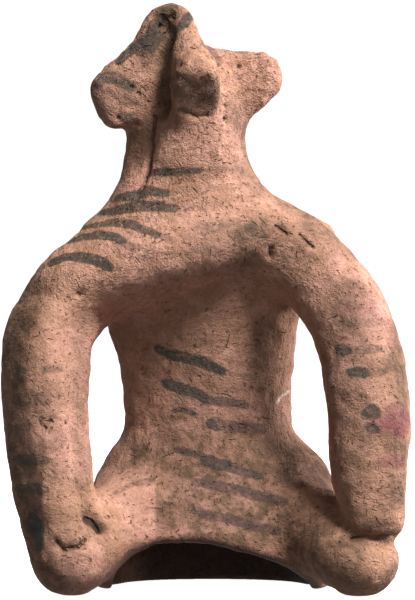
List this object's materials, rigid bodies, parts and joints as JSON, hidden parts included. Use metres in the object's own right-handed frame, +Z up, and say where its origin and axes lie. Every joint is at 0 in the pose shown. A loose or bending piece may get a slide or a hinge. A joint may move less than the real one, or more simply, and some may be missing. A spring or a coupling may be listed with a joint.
{
  "type": "ape figurine",
  "caption": "Hand-modelled terracotta ape sitting hunched with both hands down on its feet, with worn painted stripes and a hollow base.",
  "frame": {"origin": "middle of the bounding box on the ground plane that the feet and the back rim stand on", "axes": "+Z up, along the figure's height; the face looks along -Y; +X to the right of someone who faces the figure"},
  "size_m": [0.11, 0.068, 0.1597],
  "materials": {
    "terracotta": "matt fired clay, unglazed, with worn dark painted stripes"
  },
  "bodies": {
    "root": {"ape_figurine": "terracotta"}
  },
  "joints": []
}
